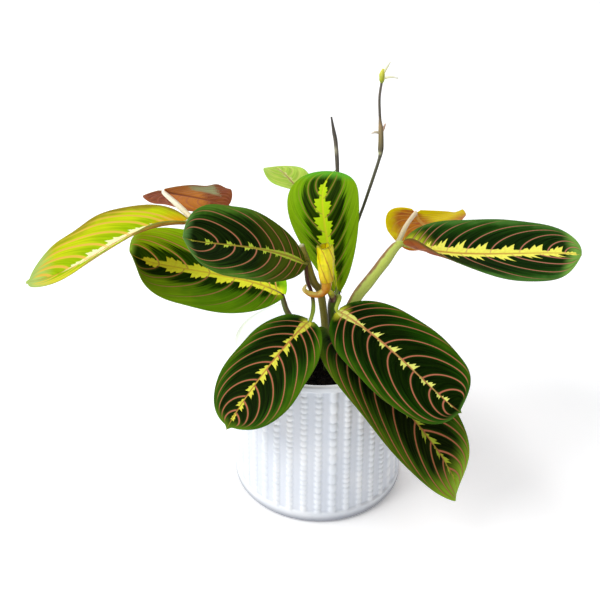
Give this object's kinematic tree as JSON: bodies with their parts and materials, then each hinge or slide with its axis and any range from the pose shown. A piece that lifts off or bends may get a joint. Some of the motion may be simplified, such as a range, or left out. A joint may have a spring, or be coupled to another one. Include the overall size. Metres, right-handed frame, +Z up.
{
  "type": "potted prayer plant",
  "caption": "Maranta prayer plant with patterned oval leaves and thin flower stalks in a round white ribbed cover pot.",
  "frame": {"origin": "centre of the pot's flat base", "axes": "+Z up along the pot's axis, -Y towards the plant's front, +X to the right seen from the front"},
  "size_m": [0.3772, 0.1963, 0.3053],
  "materials": {
    "pot": "satin",
    "soil": "matte",
    "leaf_dark": "satin",
    "leaf_bright": "satin",
    "leaf_lime": "satin",
    "leaf_orange": "satin",
    "leaf_red": "satin",
    "leaf_pale": "satin",
    "leaf_young": "satin",
    "stem_olive": "satin",
    "stem_green": "satin",
    "stalk": "matte"
  },
  "bodies": {
    "root": {"pot": "pot", "soil": "soil", "leaf_front_left": "leaf_dark", "leaf_left": "leaf_bright", "leaf_middle_left": "leaf_dark", "leaf_upright": "leaf_bright", "leaf_front_right": "leaf_dark", "leaf_low_right": "leaf_dark", "leaf_right": "leaf_dark", "leaf_back_right": "leaf_orange", "leaf_far_left": "leaf_lime", "leaf_back_left": "leaf_red", "leaf_back_small": "leaf_pale", "stem_left": "stem_olive", "stem_right": "stem_green", "stem_middle": "stem_green", "stem_left_leaf": "stem_olive", "stem_low_leaf": "stem_green", "stem_back_leaf": "stem_green", "spike_stalk": "stalk", "flower_stalk": "stalk", "leaf_curled": "leaf_young"}
  },
  "joints": []
}
